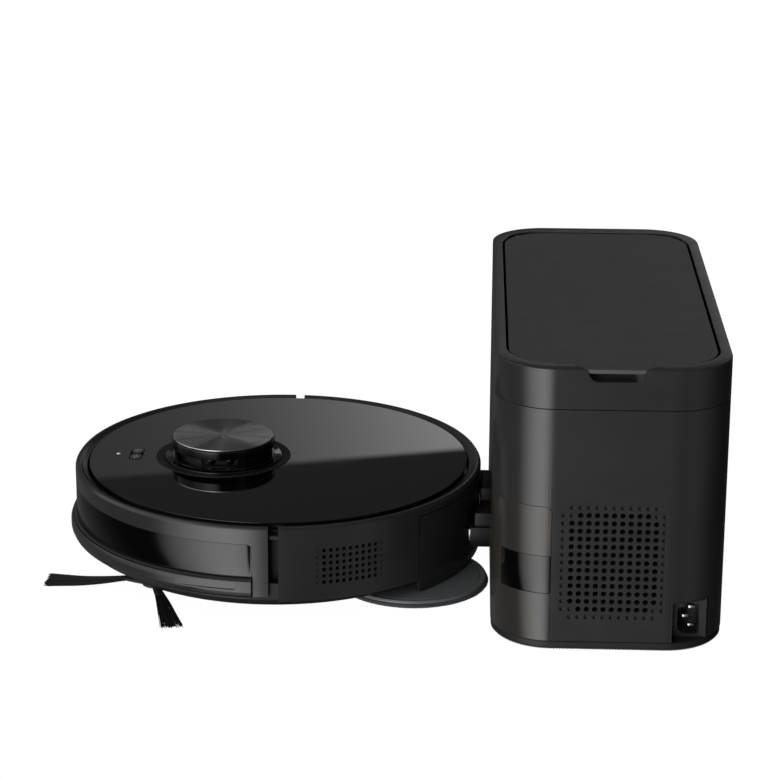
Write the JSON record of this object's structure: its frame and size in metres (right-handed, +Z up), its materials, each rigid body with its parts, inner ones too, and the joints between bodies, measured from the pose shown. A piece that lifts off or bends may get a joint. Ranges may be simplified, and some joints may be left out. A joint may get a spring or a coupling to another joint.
{
  "type": "robot vacuum",
  "caption": "Round robot vacuum with a range-finder turret, front bumper, side brush and spinning mops, standing at a box-shaped dock with a hinged lid.",
  "frame": {"origin": "middle of the footprint of robot, side brush and dock, on the floor", "axes": "+X from the robot's front through its rear to the dock, along the longest side; +Y toward the robot's right side and the lid hinge; +Z up from the floor, the shortest side"},
  "size_m": [0.5564, 0.436, 0.2326],
  "materials": {
    "base_plastic": "matt moulded",
    "shell_plastic": "satin moulded",
    "gloss_plastic": "gloss",
    "ir_plastic": "high gloss, infra-red clear",
    "lip_plastic": "semi-gloss",
    "top_glass": "back-painted black, polished",
    "brushed_cap": "spun, dark anodised",
    "led_window": "translucent white",
    "circuit_board": "solder mask",
    "battery_wrap": "shrink wrap",
    "hub_plastic": "matt moulded",
    "plate_plastic": "fine moulded texture",
    "tyre_rubber": "ribbed",
    "rubber": "matt",
    "bristle": "nylon bristle",
    "clear_plastic": "smoked",
    "filter_paper": "pleated",
    "mop_fabric": "short pile microfibre",
    "contact_metal": "nickel plated",
    "dock_plastic": "satin moulded",
    "panel_plastic": "satin gloss",
    "lid_plastic": "satin moulded",
    "socket_plastic": "satin moulded",
    "bag_paper": "non-woven"
  },
  "bodies": {
    "robot": {"chassis_base": "base_plastic", "side_shell": "shell_plastic", "top_deck": "base_plastic", "top_glass": "top_glass", "turret_ring": "base_plastic", "turret_guard": "gloss_plastic", "turret_cap_disc": "brushed_cap", "lidar_base": "base_plastic", "status_led": "led_window", "main_board": "circuit_board", "battery_pack": "battery_wrap", "suction_fan": "base_plastic", "side_brush_motor": "base_plastic", "brush_guard": "hub_plastic", "rear_module_shell": "shell_plastic", "dust_bin": "clear_plastic", "bin_filter": "filter_paper", "mop_gearbox": "base_plastic", "robot_contact_left": "contact_metal", "robot_contact_right": "contact_metal"},
    "bumper": {"bumper_shell": "shell_plastic", "bumper_window": "ir_plastic", "bumper_lip": "lip_plastic"},
    "lidar": {"lidar_rotor": "base_plastic"},
    "power_key": {"power_button": "gloss_plastic"},
    "home_key": {"home_button": "gloss_plastic"},
    "arm_left": {"wheel_arm_left": "base_plastic"},
    "arm_right": {"wheel_arm_right": "base_plastic"},
    "wheel_left": {"wheel_hub_left": "hub_plastic", "wheel_tyre_left": "tyre_rubber"},
    "wheel_right": {"wheel_hub_right": "hub_plastic", "wheel_tyre_right": "tyre_rubber"},
    "caster": {"caster_fork": "base_plastic"},
    "caster_roller": {"caster_wheel": "hub_plastic"},
    "main_brush": {"brush_core": "base_plastic", "brush_fins": "rubber"},
    "side_brush": {"side_brush_hub": "rubber", "side_brush_bristles": "bristle"},
    "mop_left": {"mop_plate_left": "plate_plastic", "mop_pad_left": "mop_fabric"},
    "mop_right": {"mop_plate_right": "plate_plastic", "mop_pad_right": "mop_fabric"},
    "dock": {"dock_shell": "dock_plastic", "dock_top_frame": "dock_plastic", "dock_base_plate": "base_plastic", "dock_foot_ring": "rubber", "dock_front_panel": "panel_plastic", "dock_ir_window_near": "ir_plastic", "dock_ir_window_far": "ir_plastic", "lid_hinge_pin": "contact_metal", "docking_head": "base_plastic", "inlet_socket": "socket_plastic", "inlet_pins": "contact_metal", "bag_tub": "base_plastic", "dust_bag": "bag_paper", "dock_fan": "base_plastic", "exhaust_filter": "filter_paper"},
    "lid": {"dock_lid": "lid_plastic"},
    "contact_near": {"dock_contact_near": "contact_metal"},
    "contact_far": {"dock_contact_far": "contact_metal"}
  },
  "joints": [
    {"name": "bumper_press", "type": "slide", "parent": "robot", "child": "bumper", "axis": [1, 0, 0], "range_m": [0, 0.005], "stiffness_N_per_m": 400},
    {"name": "lidar_spin", "type": "hinge", "parent": "robot", "child": "lidar", "pos_m": [-0.13666, 0, 0.084], "axis": [0, 0, 1], "continuous": true},
    {"name": "power_press", "type": "slide", "parent": "robot", "child": "power_key", "axis": [0, 0, -1], "range_m": [0, 0.0008], "stiffness_N_per_m": 300},
    {"name": "home_press", "type": "slide", "parent": "robot", "child": "home_key", "axis": [0, 0, -1], "range_m": [0, 0.0008], "stiffness_N_per_m": 300},
    {"name": "suspension_left", "type": "hinge", "parent": "robot", "child": "arm_left", "pos_m": [-0.13716, -0.0937, 0.048], "axis": [0, 1, 0], "range_deg": [0, 22]},
    {"name": "suspension_right", "type": "hinge", "parent": "robot", "child": "arm_right", "pos_m": [-0.13716, 0.0937, 0.048], "axis": [0, 1, 0], "range_deg": [0, 22]},
    {"name": "wheel_spin_left", "type": "hinge", "parent": "arm_left", "child": "wheel_left", "pos_m": [-0.08916, -0.113, 0.035], "axis": [0, 1, 0], "continuous": true},
    {"name": "wheel_spin_right", "type": "hinge", "parent": "arm_right", "child": "wheel_right", "pos_m": [-0.08916, 0.113, 0.035], "axis": [0, 1, 0], "continuous": true},
    {"name": "caster_swivel", "type": "hinge", "parent": "robot", "child": "caster", "pos_m": [-0.21716, 0, 0.035], "axis": [0, 0, 1], "continuous": true},
    {"name": "caster_roll", "type": "hinge", "parent": "caster", "child": "caster_roller", "pos_m": [-0.21016, 0, 0.0125], "axis": [0, 1, 0], "continuous": true},
    {"name": "main_brush_spin", "type": "hinge", "parent": "robot", "child": "main_brush", "pos_m": [-0.06516, 0, 0.0205], "axis": [0, 1, 0], "continuous": true},
    {"name": "side_brush_spin", "type": "hinge", "parent": "robot", "child": "side_brush", "pos_m": [-0.18416, -0.107, 0.01], "axis": [0, 0, 1], "continuous": true, "deforming": ["side_brush_bristles"]},
    {"name": "mop_spin_left", "type": "hinge", "parent": "robot", "child": "mop_left", "pos_m": [0.02904, -0.0776, 0.008], "axis": [0, 0, 1], "continuous": true},
    {"name": "mop_spin_right", "type": "hinge", "parent": "robot", "child": "mop_right", "pos_m": [0.02904, 0.0776, 0.008], "axis": [0, 0, 1], "continuous": true},
    {"name": "undock", "type": "slide", "parent": "robot", "child": "dock", "axis": [1, 0, 0], "range_m": [0, 0.25]},
    {"name": "lid_hinge", "type": "hinge", "parent": "dock", "child": "lid", "pos_m": [0.18599, 0.195, 0.2293], "axis": [-1, 0, 0], "range_deg": [0, 80]},
    {"name": "contact_press_near", "type": "slide", "parent": "dock", "child": "contact_near", "axis": [1, 0, 0], "range_m": [0, 0.003], "stiffness_N_per_m": 250},
    {"name": "contact_press_far", "type": "slide", "parent": "dock", "child": "contact_far", "axis": [1, 0, 0], "range_m": [0, 0.003], "stiffness_N_per_m": 250}
  ],
  "couplings": [
    {"joint": "mop_spin_right", "follows": "mop_spin_left", "ratio": -1}
  ]
}
